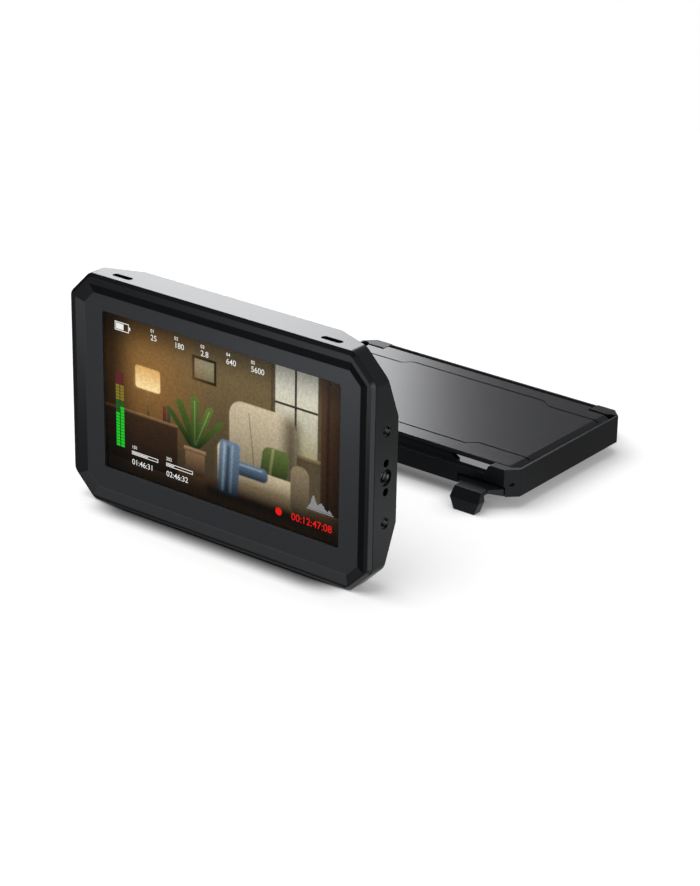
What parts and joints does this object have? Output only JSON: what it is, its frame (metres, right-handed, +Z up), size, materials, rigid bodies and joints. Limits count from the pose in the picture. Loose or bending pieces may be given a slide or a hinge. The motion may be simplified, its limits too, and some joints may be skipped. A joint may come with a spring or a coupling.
{
  "type": "camera field monitor",
  "caption": "Slim camera-top field monitor with a bevelled rim and threaded side mounts, and its folding sun hood with sprung latches lying behind it.",
  "frame": {"origin": "centre of the mouth of the thread in the monitor's lower face", "axes": "+X to the right seen from the front, +Y from the screen to the back, +Z up"},
  "size_m": [0.1422, 0.1794, 0.0912],
  "materials": {
    "body_paint": "fine matte charcoal paint",
    "gasket_foam": "black foam tape",
    "cover_glass": "polished hardened glass",
    "display": "glossy liquid-crystal cell",
    "backlight": "white light guide",
    "frame_metal": "plain stamped sheet",
    "board": "green solder mask",
    "bright_steel": "plain turned steel",
    "chip_resin": "black moulding resin",
    "thermal_pad": "grey soft pad",
    "flex_film": "amber film",
    "thread_steel": "satin stainless steel",
    "black_steel": "blackened steel",
    "hood_plastic": "fine-textured black moulding",
    "flap_plastic": "satin charcoal moulding",
    "latch_plastic": "satin charcoal moulding",
    "spring_steel": "bright music wire"
  },
  "bodies": {
    "monitor": {"front_bezel": "body_paint", "rear_shell": "body_paint", "window_gasket": "gasket_foam", "cover_glass": "cover_glass", "display_cell": "display", "backlight_unit": "backlight", "mid_frame": "frame_metal", "main_board": "board", "board_standoffs": "bright_steel", "board_screws": "bright_steel", "board_chips": "chip_resin", "thermal_pad": "thermal_pad", "display_flex": "flex_film", "type_c_port": "bright_steel", "right_thread_insert": "thread_steel", "left_thread_insert": "thread_steel", "lower_thread_insert": "thread_steel", "housing_screws": "black_steel"},
    "hood": {"hood_frame": "hood_plastic", "flap_hinge_pins": "bright_steel", "right_latch_pin": "bright_steel", "left_latch_pin": "bright_steel", "right_latch_spring": "spring_steel", "left_latch_spring": "spring_steel"},
    "flap": {"top_flap": "flap_plastic", "flap_plate": "flap_plastic", "right_cheek_pin": "bright_steel", "left_cheek_pin": "bright_steel"},
    "right_cheek": {"right_cheek": "hood_plastic"},
    "left_cheek": {"left_cheek": "hood_plastic"},
    "right_latch": {"right_latch": "latch_plastic"},
    "left_latch": {"left_latch": "latch_plastic"}
  },
  "joints": [
    {"name": "hood_lift", "type": "slide", "parent": "monitor", "child": "hood", "axis": [0, 0, 1], "range_m": [0, 0.1]},
    {"name": "flap_hinge", "type": "hinge", "parent": "hood", "child": "flap", "pos_m": [0.0049, 0.15724, 0.01555], "axis": [-1, 0, 0], "range_deg": [0, 100]},
    {"name": "right_cheek_hinge", "type": "hinge", "parent": "flap", "child": "right_cheek", "pos_m": [0.0589, 0.1226, 0.013], "axis": [0, -1, 0], "range_deg": [0, 90]},
    {"name": "left_cheek_hinge", "type": "hinge", "parent": "flap", "child": "left_cheek", "pos_m": [-0.0491, 0.1226, 0.013], "axis": [0, 1, 0], "range_deg": [0, 90]},
    {"name": "right_latch_pivot", "type": "hinge", "parent": "hood", "child": "right_latch", "pos_m": [0.0535, 0.08651, 0.0104], "axis": [-1, 0, 0], "range_deg": [0, 12], "stiffness_Nm_per_rad": 0.02, "springref_deg": -17.19},
    {"name": "left_latch_pivot", "type": "hinge", "parent": "hood", "child": "left_latch", "pos_m": [-0.0437, 0.08651, 0.0104], "axis": [-1, 0, 0], "range_deg": [0, 12], "stiffness_Nm_per_rad": 0.02, "springref_deg": -17.19}
  ]
}
